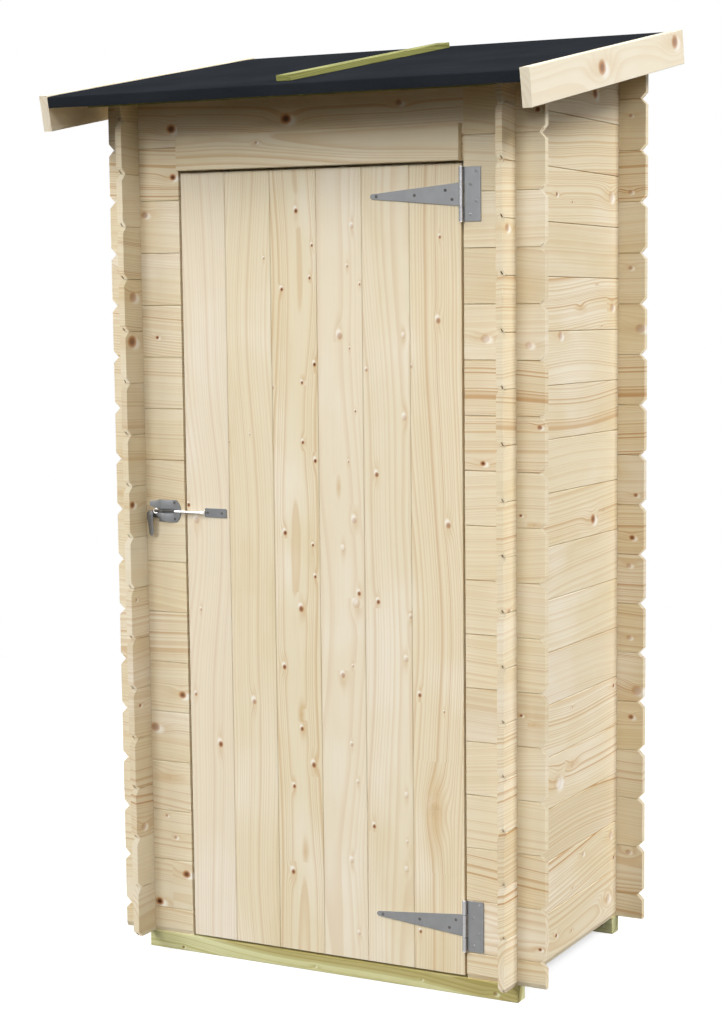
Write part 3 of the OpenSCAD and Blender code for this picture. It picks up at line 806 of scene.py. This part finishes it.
def rebated_rail(name, node, along, profile, seed, soft=0.0018):
    """A rail whose section, with its rebate, is carried along its length; its corners are eased by small facets."""
    low, high = corners(node)
    rng = np.random.default_rng(seed)
    profile = np.array(profile, float)
    sides = [np.roll(profile, way, axis=0) - profile for way in (1, -1)]
    eased = np.stack([profile + side / np.linalg.norm(side, axis=1, keepdims=True) * soft for side in sides],
                     axis=1).reshape(-1, 2)
    upright = along is Z
    length = (high - low)[2 if upright else 0]
    shape = swept([np.column_stack([np.full(len(eased), s), eased]) for s in (0.0, length)])
    origin = (0.0, FRONT, low[2]) if upright else (low[0], FRONT, 0.0)
    one_shell(name, spruce, "root", "frame_wood", [node], shape, placed(along, X if upright else Z, Y, origin),
              grain(rng, 0.05), board_tone(rng, spread=0.5))


def rebate(inner, outer, back):
    """Section of a rail: a lip behind the door's edge, a step beside it, and the rest against the wall's back."""
    lip, deep = 0.014, WALL + 0.005
    step = inner + math.copysign(lip, outer - inner)
    return [(inner, deep), (step, deep), (step, WALL), (outer, WALL), (outer, back), (inner, back)]


post_low, post_high = corners("door_post_right")
head_low, head_high = corners("door_head")
rail_back = post_high[1] - FRONT
rebated_rail("post_right_rail", "door_post_right", Z, rebate(post_low[0], post_high[0], rail_back), 51)
rebated_rail("post_left_rail", "door_post_left", Z, rebate(-post_low[0], -post_high[0], rail_back), 52)
rebated_rail("head_rail", "door_head", X, rebate(head_low[2], head_high[2], rail_back), 53)


# ---- base

def several_boards(name, node, cuts, axes, origin, length, thickness, seed, joint=0.0012):
    """Boards side by side, with V joints, at the cuts across them."""
    rng = np.random.default_rng(seed)
    along, across, through = axes
    stack = Stack()
    for c0, c1 in zip(cuts[:-1], cuts[1:]):
        knots = random_knots(rng, 0.02, length - 0.02, 0.0, c1 - c0)
        shape = rectangle(length, c1 - c0, "joint", "joint", midways(knots))
        stack.add(carve(*shape, plain_section(thickness, 0.0012, joint)),
                  placed(along, across, through, np.asarray(origin) + across * c0),
                  grain(rng, c1 - c0), board_tone(rng), knots)
    stack.piece(name, spruce, "root", [node])


floor_low, floor_high = corners("floor_boards")
floor_size = floor_high - floor_low
several_boards("floor_planks", "floor_boards", np.linspace(0, floor_size[0], 9), (Y, X, -Z),
               (floor_low[0], floor_low[1], floor_high[2]), floor_size[1], floor_size[2], 61)

# Each beam's pith lies just above its top, so that the browner core gives it a darker band along the top
single_board("beam_front", "ground_beam_front", "root", "treated_wood", treated_pine, 0.002, 62, (5.0, -0.050, 0.012),
             (0.0, 0.2, 0.8), [(0.095, 0.008, 0.0030, 0.8), (0.46, 0.012, 0.0030, 0.3), (0.74, 0.020, 0.0025, 0.4),
                               (0.925, 0.014, 0.0045, 0.6)])
single_board("beam_rear", "ground_beam_rear", "root", "treated_wood", treated_pine, 0.002, 63, (15.0, -0.045, 0.014),
             (0.0, 0.0, 0.8))


# ---- roof

def roof_place(x, u, n):
    """A place on the roof: x across, u up the slope from the front wall, n square off it."""
    return np.array([x, FRONT, WALL_TOP]) + UP_ROOF * u + OFF_ROOF * n


several_boards("deck_boards", "roof_deck", np.linspace(0, 2 * DECK, 14), (UP_ROOF, X, OFF_ROOF),
               roof_place(-DECK, FELT_T - ROOF_FRONT, 0.0), ROOF_REAR + ROOF_FRONT - 2 * FELT_T, DECK_T, 71, 0.002)


def bargeboard(side, x, lean, tone, knots):
    """A board on edge that runs up the slope beside the deck and stands a little over the felt."""
    low, high = corners("bargeboard_" + side)
    one_shell("barge_" + side, spruce, "root", "trim_wood", ["bargeboard_" + side],
              carve(*rectangle(ROOF_REAR + ROOF_FRONT, BARGE_H, splits=midways(knots)),
                    plain_section(high[0] - low[0], 0.0012)),
              placed(UP_ROOF, OFF_ROOF, X, roof_place(x, -ROOF_FRONT, DECK_T + FELT_T + BARGE_RISE - BARGE_H)),
              lean, tone, knots)


bargeboard("right", DECK, (3.0, -0.005, 0.055), (0.9, 0.35, 0.45),
           [(0.380, 0.0420, 0.0150, 0.72), (0.835, 0.0560, 0.0140, 0.66)])
bargeboard("left", -DECK - BARGE_T, (8.0, -0.050, 0.055), (0.7, 0.2, 0.5),
           [(0.25, 0.030, 0.006, 0.6), (0.66, 0.052, 0.008, 0.7)])


def lath(name, node, x, u, n, size, axes, tone, seed):
    """A thin batten of treated pine, lying on the roof or under it."""
    one_shell(name, olive_pine, "root", "treated_wood", [node],
              carve(*rectangle(size[0], size[1]), plain_section(size[2], 0.001)), placed(*axes, roof_place(x, u, n)),
              grain(np.random.default_rng(seed), size[1], True), tone)


lath("lath_on_felt", "felt_batten", -0.018, 0.060 - ROOF_FRONT, DECK_T + FELT_T,
     (ROOF_REAR + ROOF_FRONT - 0.120, 0.036, 0.013), (UP_ROOF, X, OFF_ROOF), (0.0, 0.3, 1.0), 74)
# The eave laths take a darker tone than the batten on the felt: painted shade under the eaves
for place, u, seed in (("front", 0.035 - ROOF_FRONT, 75), ("rear", ROOF_REAR - 0.065, 76)):
    low, high = corners("eave_batten_" + place)
    lath("eave_lath_" + place, "eave_batten_" + place, low[0], u, -0.006, (high[0] - low[0], 0.030, 0.006),
         (X, UP_ROOF, OFF_ROOF), (-0.5, 0.3, 0.8), seed)


def felt_sheet():
    """The felt's section, a closed strip that folds over both edges of the deck, carried across the roof.

    The outer line goes up the front edge, round a small bend, up the slope and down the back edge; the inner line
    comes back one thickness inside. The top is lifted by two slow waves, which fade out at the folds and under the
    batten."""
    bend, lift, fold = 0.0035, 0.0016, 0.05
    top = DECK_T + FELT_T
    arc = np.linspace(0.0, 1.0, 5) * math.pi / 2
    run = np.linspace(-ROOF_FRONT + 0.02, ROOF_REAR - 0.02, 60)
    front = np.column_stack([-ROOF_FRONT + bend * (1 - np.cos(arc)), top - bend * (1 - np.sin(arc))])
    back = np.column_stack([ROOF_REAR - bend * (1 - np.sin(arc)), top - bend * (1 - np.cos(arc))])
    inner = [(ROOF_REAR, 0.0), (ROOF_REAR - FELT_T, 0.0), (ROOF_REAR - FELT_T, DECK_T + 0.0001),
             (-ROOF_FRONT + FELT_T, DECK_T + 0.0001), (-ROOF_FRONT + FELT_T, 0.0), (-ROOF_FRONT, 0.0)]
    profile = np.concatenate([front, np.column_stack([run, np.full(60, top)]), back, inner])
    across = np.linspace(-DECK + 0.0004, DECK - 0.0004, 90)[:, None]
    u, height = profile[:, 0][None], profile[:, 1][None]
    wave = 0.5 + 0.25 * np.sin(across * 9.0 + 3.0 * np.sin(u * 5.0)) + 0.25 * np.sin(u * 13.0 + across * 4.0)
    fade = np.clip((u + ROOF_FRONT) / fold, 0, 1) * np.clip((ROOF_REAR - u) / fold, 0, 1)
    lifted = height + (height > top - 1e-6) * wave * fade * np.clip(np.abs(across) / fold - 0.6, 0, 1) * lift
    rings = (roof_place(0.0, 0.0, 0.0) + across[..., None] * X + u[..., None] * UP_ROOF
             + lifted[..., None] * OFF_ROOF)
    one_shell("felt_sheet", felt, "root", "roofing_felt", ["roof_felt"], swept(rings), smooth=True)


felt_sheet()


# ---- ironwork

# Thickness of the pressed plates, and the radius of a screw's head
LEAF = 0.0025
SCREW, SMALL_SCREW = 0.0036, 0.0032


def arc_points(cx, cz, radius, start, end, steps=14):
    """Points on an arc of a circle, from one angle to another."""
    angle = np.linspace(start, end, steps)
    return np.column_stack([cx + radius * np.cos(angle), cz + radius * np.sin(angle)])


def plate(stack, loop, thickness=LEAF, front=FRONT - LEAF, soft=0.0004):
    """A flat plate with softened edges. Its outline is drawn in X and Z, and it lies on the wall's or door's face."""
    n = len(loop)
    stack.add(carve(*counter_clockwise(np.asarray(loop, float)), ["plain"] * n, [list(range(n))],
                    plain_section(thickness, soft)), placed(X, Z, Y, (0.0, front, 0.0)))


def turned(profile, steps=32):
    """A closed section in radius and height, turned round its own axis: (r cos w, r sin w, h)."""
    profile = np.asarray(profile, float)
    w = (np.arange(steps) * 2 * math.pi / steps)[:, None]
    r, h = profile[:, 0][None], profile[:, 1][None]
    rings = np.stack([r * np.cos(w), r * np.sin(w), h + 0 * w], axis=-1)
    return rings.reshape(-1, 3), quads_between(len(profile), steps, closed=True), None


def knuckle(stack, x, y, z0, z1, outer, bore):
    """A rolled knuckle: a tube with eased rims."""
    soft = 0.0005
    stack.add(turned([(bore, z0), (outer - soft, z0), (outer, z0 + soft), (outer, z1 - soft), (outer - soft, z1),
                      (bore, z1)]), placed(X, Y, Z, (x, y, 0.0)))


def screws(name, body, spots, radius, finish, height=0.0011):
    """Domed heads with a cross recess. The dome's height falls with the square of the radius; the recess is a cross
    whose arms fade with their distance from the axes and end at two thirds of the radius."""
    rings, steps = 7, 24
    share = np.linspace(0.02, 1.0, rings)[:, None]
    w = (np.arange(steps) * 2 * math.pi / steps)[None]
    px, pz = share * radius * np.cos(w), share * radius * np.sin(w)
    arms = np.clip(1.4 - np.minimum(np.abs(px), np.abs(pz)) / (radius * 0.17), 0, 1)
    recess = arms * np.clip((0.66 - share) / 0.14, 0, 1) * 0.85
    top = np.stack([px, pz, -height * (1 - 0.8 * share ** 2) * (1 - recess)], axis=-1)
    skirt = np.stack([px[-1], pz[-1], np.full(steps, 0.0003)], axis=-1)[None]
    shape = swept(np.concatenate([top, skirt]))
    rng = np.random.default_rng(len(name))
    stack = Stack()
    for x, z in spots:
        q = rng.uniform(0, math.pi / 2)
        turn = np.array([math.cos(q), 0, math.sin(q)])
        stack.add(shape, placed(turn, (-turn[2], 0, turn[0]), Y, (x, FRONT - LEAF, z)))
    stack.metal(name, finish, body)


def hinge(label, up):
    """A tapering strap with its knuckle on the door, a plate with two knuckles on the wall, and their screws."""
    low, high = corners("hinge_strap_" + label)
    pin_low, pin_high = corners("hinge_pin_" + label)
    x, y = (pin_low[0] + pin_high[0]) / 2, (pin_low[1] + pin_high[1]) / 2
    z, half, tip = (low[2] + high[2]) / 2, (high[2] - low[2]) / 2, 0.0055
    barrel, bore, gap = 0.0055, 0.0031, half + 0.0005
    end = low[0] + tip
    slope = math.atan2(half - tip, x - end)
    strap = Stack()
    plate(strap, np.concatenate([[(x, z - half), (x, z + half)],
                                 arc_points(end, z, tip, math.pi / 2 + slope, 1.5 * math.pi - slope)]))
    strap.metal("strap_" + label, plated_steel, "door", "hinge_strap_" + label)
    # Its knuckle in the brighter zinc: a painted highlight
    roll = Stack()
    knuckle(roll, x, y, z - half, z + half, barrel, bore)
    roll.metal("strap_knuckle_" + label, highlight_steel, "door")
    screws("strap_screws_" + label, "door", [(0.1536, z), (0.2478, z + 0.0004), (0.3230, z + 0.0093 * up),
                                             (0.3393, z - 0.0105 * up)], SCREW, dark_steel_and_shade)

    low, high = corners("hinge_plate_" + label)
    notch = x + barrel + 0.0005
    wall = Stack()
    plate(wall, [(x, low[2]), (high[0], low[2]), (high[0], high[2]), (x, high[2]), (x, z + gap), (notch, z + gap),
                 (notch, z - gap), (x, z - gap)])
    wall.metal("hinge_plate_" + label + "_leaf", plated_steel, "root", "hinge_plate_" + label)
    # The plate's knuckles in the brighter zinc: a painted highlight
    rolls = Stack()
    knuckle(rolls, x, y, low[2], z - gap, barrel, bore)
    knuckle(rolls, x, y, z + gap, high[2], barrel, bore)
    rolls.metal("plate_knuckles_" + label, highlight_steel, "root")
    screws("plate_screws_" + label, "root", [(0.3976, z + 0.049), (0.3838, z + 0.020), (0.3974, z - 0.015),
                                             (0.3834, z - 0.044)], SCREW, plated_steel)
    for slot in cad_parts["hinge_pin_" + label].material_slots:
        slot.material = bright_steel


hinge("upper", 1.0)
hinge("lower", -1.0)


# ---- latch

bar_low, bar_high = corners("latch_striker")
case_high = corners("latch_case")[1]
lever_low, lever_high = corners("latch_lever")
# The rod's height, and the left edges of the door's plate and of the wall's plate
ROD_Z = (bar_low[2] + bar_high[2]) / 2
PLATE_X = bar_high[0] - 0.059
CASE_X = case_high[0] - 0.061


def rounded(cx, cy, half_x, half_y, square, steps=24):
    """A closed ring between an ellipse and a rectangle: both cosine and sine are raised to the power square."""
    w = np.arange(steps) * 2 * math.pi / steps
    return [middle + half * np.sign(wave) * np.abs(wave) ** square
            for middle, half, wave in ((cx, half_x, np.cos(w)), (cy, half_y, np.sin(w)))]


def latch_bar():
    """The plate with rounded corners and the rod that runs off it, and the rod's flattened end inside the case."""
    stack = Stack()
    r = 0.003
    spots = ((PLATE_X + r, bar_low[2] + r), (bar_high[0] - r, bar_low[2] + r), (bar_high[0] - r, bar_high[2] - r),
             (PLATE_X + r, bar_high[2] - r))
    plate(stack, np.concatenate([arc_points(x, z, r, (q - 2) * math.pi / 2, (q - 1) * math.pi / 2, 5)
                                 for q, (x, z) in enumerate(spots)]))
    stack.metal("latch_bar_plate", plated_steel, "door", "latch_striker")
    middle = bar_low[1] + 0.004

    def rod(name, stations, finish):
        """An oval bar through stations along X: place, half height, half thickness, and how far it lies back."""
        rings = []
        for x, tall, thick, back in stations:
            y, z = rounded(middle + back, ROD_Z, thick, tall, 1.0)
            rings.append(np.column_stack([np.full(len(y), x), y, z]))
        one_shell(name, finish, "door", "zinc_steel", (), swept(rings), smooth=True)

    rod("latch_rod", [(PLATE_X + 0.0020, 0.0044, 0.0012, 0.0028), (PLATE_X + 0.0005, 0.0044, 0.0026, 0.0014),
                      (PLATE_X - 0.003, 0.0038, 0.0032, 0.0006), (PLATE_X - 0.008, 0.0030, 0.0032, 0.0),
                      (PLATE_X - 0.040, 0.0030, 0.0032, 0.0), (PLATE_X - 0.079, 0.0030, 0.0032, 0.0),
                      (PLATE_X - 0.0805, 0.0025, 0.0026, 0.0)], bright_steel)
    # The rod's end inside the case takes the dark zinc: painted shade in the slot between the jaws
    rod("latch_rod_tongue", [(PLATE_X - 0.079, 0.0032, 0.0026, 0.0008), (PLATE_X - 0.086, 0.0030, 0.0018, 0.0020),
                             (PLATE_X - 0.112, 0.0030, 0.0018, 0.0020), (bar_low[0] + 0.001, 0.0026, 0.0014, 0.0020),
                             (bar_low[0] + 0.0002, 0.0014, 0.0006, 0.0020)], dark_steel_and_shade)
    screws("latch_bar_screws", "door", [(PLATE_X + 0.0085, ROD_Z), (PLATE_X + 0.047, ROD_Z)], SMALL_SCREW, dark_steel_and_shade)


latch_bar()


def jaw(stack, profile, z_low, z_high):
    """A pressed jaw: a closed section in X and Y, carried up from z_low to z_high, which may differ at each point of
    the section. The sections near both rims are drawn in a little, so that the rims are soft."""
    profile, z_low, z_high = counter_clockwise(profile, z_low, z_high)
    rings = [np.column_stack([shifted(profile, np.full(len(profile), drawn)), z_low + (z_high - z_low) * share])
             for share, drawn in ((0.0, 0.0005), (0.02, 0.0002), (0.08, 0.0), (0.5, 0.0), (0.92, 0.0), (0.98, 0.0002),
                                  (1.0, 0.0005))]
    stack.add(swept(rings))


def latch_case():
    """The wall plate, bulging towards the door, two pressed jaws over it, the upper one drawn out into a horn, and
    the hooked claw between them."""
    right, half, bulge, deep = case_high[0], 0.026, 0.033, 0.012
    reach = math.asin(half / bulge)
    face = FRONT - LEAF
    backing = Stack()

    # The plate, and the ear that the lever hangs on
    plate(backing, np.concatenate([[(CASE_X, ROD_Z - half)], arc_points(right - bulge, ROD_Z, bulge, -reach, reach, 18),
                                   [(CASE_X, ROD_Z + half)]]))
    ear_x, ear_z, ear_r = (lever_low[0] + lever_high[0]) / 2, ROD_Z - 0.0085, 0.0085
    plate(backing, np.concatenate([arc_points(ear_x, ear_z, ear_r, 0.5 * math.pi, 1.5 * math.pi),
                                   [(CASE_X + 0.001, ear_z - ear_r), (CASE_X + 0.001, ear_z + ear_r)]]))

    # The jaws: a soft step s s (3 - 2 s) up from the plate, then the horn or a plain corner
    share = np.linspace(0.0, 1.0, 16)
    swell = np.column_stack([right - 0.016 - share * 0.034,
                             face + 0.0003 - (deep - LEAF + 0.0003) * share ** 2 * (3 - 2 * share)])
    foot = [(CASE_X + 0.0015, FRONT - deep + 0.0024), (CASE_X + 0.0015, face + 0.0003)]
    horn = [(CASE_X - dx, FRONT - deep - dy) for dx, dy in (
        (-0.004, 0.0002), (0.0, 0.0008), (0.005, 0.0018), (0.010, 0.0032), (0.0155, 0.0052), (0.0150, 0.0032),
        (0.010, 0.0012), (0.005, -0.0002))]
    upper = np.array([*swell.tolist(), *horn, *foot])
    narrow = np.clip((CASE_X + 0.006 - upper[:, 0]) / 0.0215, 0, 1)
    jaw(backing, upper, ROD_Z + 0.0055 + narrow * 0.0058, ROD_Z + half - 0.0004 - narrow * 0.0026)
    lower = np.array([*swell.tolist(), (CASE_X, FRONT - deep), *foot])
    tuck = np.clip((CASE_X + 0.026 - lower[:, 0]) / 0.026, 0, 1)
    jaw(backing, lower, ROD_Z - half + 0.0004 + tuck * 0.0125, np.full(len(lower), ROD_Z - 0.0055))
    backing.metal("latch_housing", plated_steel, "root", "latch_case")

    claw = Stack()
    claw_x, outside, inside = -0.4385, 0.0072, 0.0040
    hook = [arc_points(claw_x, ROD_Z, outside, math.radians(35), math.radians(325), 20),
            arc_points(claw_x, ROD_Z, inside, math.radians(315), math.radians(45), 16)]
    plate(claw, np.concatenate(hook), 0.003, FRONT - 0.0152, 0.0008)
    claw.metal("latch_claw", bright_steel, "root")

    out = 0.017  # how far the pivot's shoulder stands off the wall
    pivot = Stack()
    pivot.add(turned([(0.0001, 0.0), (0.005, 0.0), (0.005, out - 0.0006), (0.0046, out - 0.0003),
                      (0.0025, out - 0.0003), (0.0025, out + 0.0033), (0.0044, out + 0.0033), (0.005, out + 0.0038),
                      (0.0042, out + 0.0044), (0.0001, out + 0.0046)], 28), placed(X, Z, -Y, (ear_x, FRONT, ear_z)))
    pivot.metal("latch_pivot", plated_steel, "root")
    screws("latch_case_screws", "root", [(-0.3930, ROD_Z + 0.0200), (-0.3924, ROD_Z - 0.0185)], SMALL_SCREW,
           dark_steel_and_shade)


latch_case()


def latch_lever():
    """A flat lever: rings between an ellipse and a rectangle, carried down a line that leans and bends in below the
    pivot. Both ends are rounded: the half width follows a circle there."""
    cx, r = (lever_low[0] + lever_high[0]) / 2, (lever_high[0] - lever_low[0]) / 2
    top, low = lever_high[2], lever_low[2]
    face, thick = lever_low[1], lever_high[1] - lever_low[1]
    turn = np.sin(np.linspace(-1, 1, 17) * math.pi / 2)
    depth = np.concatenate([r + r * turn[:9], np.linspace(r, top - low - r, 14)[1:-1], top - low - r + r * turn[8:]])
    width = np.sqrt(np.clip(1 - np.clip((r - depth) / r, 0, 1) ** 2, 0.002, 1)) * np.sqrt(
        np.clip(1 - np.clip((depth - (top - low - r)) / r, 0, 1) ** 2, 0.002, 1))
    bent = np.clip((depth - 0.026) / 0.02, 0, 1)
    half = (r - 0.0022 * np.clip((depth - 0.018) / 0.01, 0, 1)) * width
    rings = []
    for d, h, b in zip(depth, half, bent):
        x, y = rounded(cx + 0.0012 * np.clip((d - 0.014) / 0.03, 0, 1), face + thick / 2 + 0.0035 * b, h, thick / 2,
                       0.45)
        rings.append(np.column_stack([x, y, np.full(len(x), top - d)]))
    one_shell("latch_lever_arm", plated_steel, "latch_lever", "zinc_steel", ["latch_lever"], swept(rings), smooth=True)


latch_lever()


# ---- stage, light and camera

def stage():
    """A pale floor that keeps the shed's shadow, white behind it, and a ring of soft lamps."""
    half = 80.0  # half the floor's width
    mesh = bpy.data.meshes.new("floor")
    mesh.from_pydata([(-half, -half, 0.0), (half, -half, 0.0), (half, half, 0.0), (-half, half, 0.0)], [],
                     [(0, 1, 2, 3)])
    added("floor", mesh)
    made, f = new_finish("pale_floor", Roughness=0.9, Specular_IOR_Level=0.0, Emission_Strength=1.0)
    seen = f.ray("Camera").larger(f.ray("Glossy"))
    x, y = f.parts(f.place())[:2]
    far = squares(x, y).root().step(1.2, 4.5)
    f.feed("Base Color", f.mix(seen, grey(0.01), f.mix(far, grey(0.50), grey(0.0))))
    f.feed("Emission Color", f.mix(seen, grey(0.0), f.mix(far, grey(0.60), grey(1.0))))
    mesh.materials.append(made)

    world = bpy.data.worlds.new("white_studio")
    bpy.context.scene.world = world
    world.use_nodes = True
    sky = Finish(world.node_tree, "Background", Color=grey(1.0))
    sky.feed("Strength", sky.ray("Camera").larger(sky.ray("Glossy")).larger(sky.ray("Transmission")))

    # Broad lamps on a far ring: degrees round from the front towards the right, degrees up, watts
    away, across, aim = 40.0, 17.5, Vector((0.0, 0.0, 1.1))
    for name, turn, rise, power in (("left_lamp", -50, 42, 8700), ("front_lamp", -15, 25, 7350),
                                    ("near_lamp_low", 20, 12, 2100), ("near_lamp_high", 20, 42, 2700),
                                    ("corner_lamp", 55, 26, 3000), ("side_lamp_low", 98, 12, 2150),
                                    ("side_lamp_high", 98, 44, 14000), ("back_lamp", 180, 16, 7000),
                                    ("back_left_lamp", -130, 16, 10500)):
        turn, rise = math.radians(turn), math.radians(rise)
        data = bpy.data.lights.new(name, "AREA")
        data.shape, data.size, data.energy = "DISK", across, power
        light = added(name, data)
        toward = Vector((math.cos(rise) * math.sin(turn), -math.cos(rise) * math.cos(turn), math.sin(rise)))
        light.location = aim + toward * away
        light.rotation_euler = toward.to_track_quat("Z", "Y").to_euler()


stage()

camera_data = bpy.data.cameras.new("camera")
camera = added("camera", camera_data)
camera.location = (2.3332, -4.2147, 1.5333)
camera.rotation_euler = [math.radians(angle) for angle in (83.6213, 0.1971, 25.6957)]
camera_data.lens, camera_data.sensor_width = 71.54, 36.0
camera_data.shift_x, camera_data.shift_y = -0.1265, 0.0223
bpy.context.scene.camera = camera
bpy.context.scene.view_settings.view_transform = "Standard"
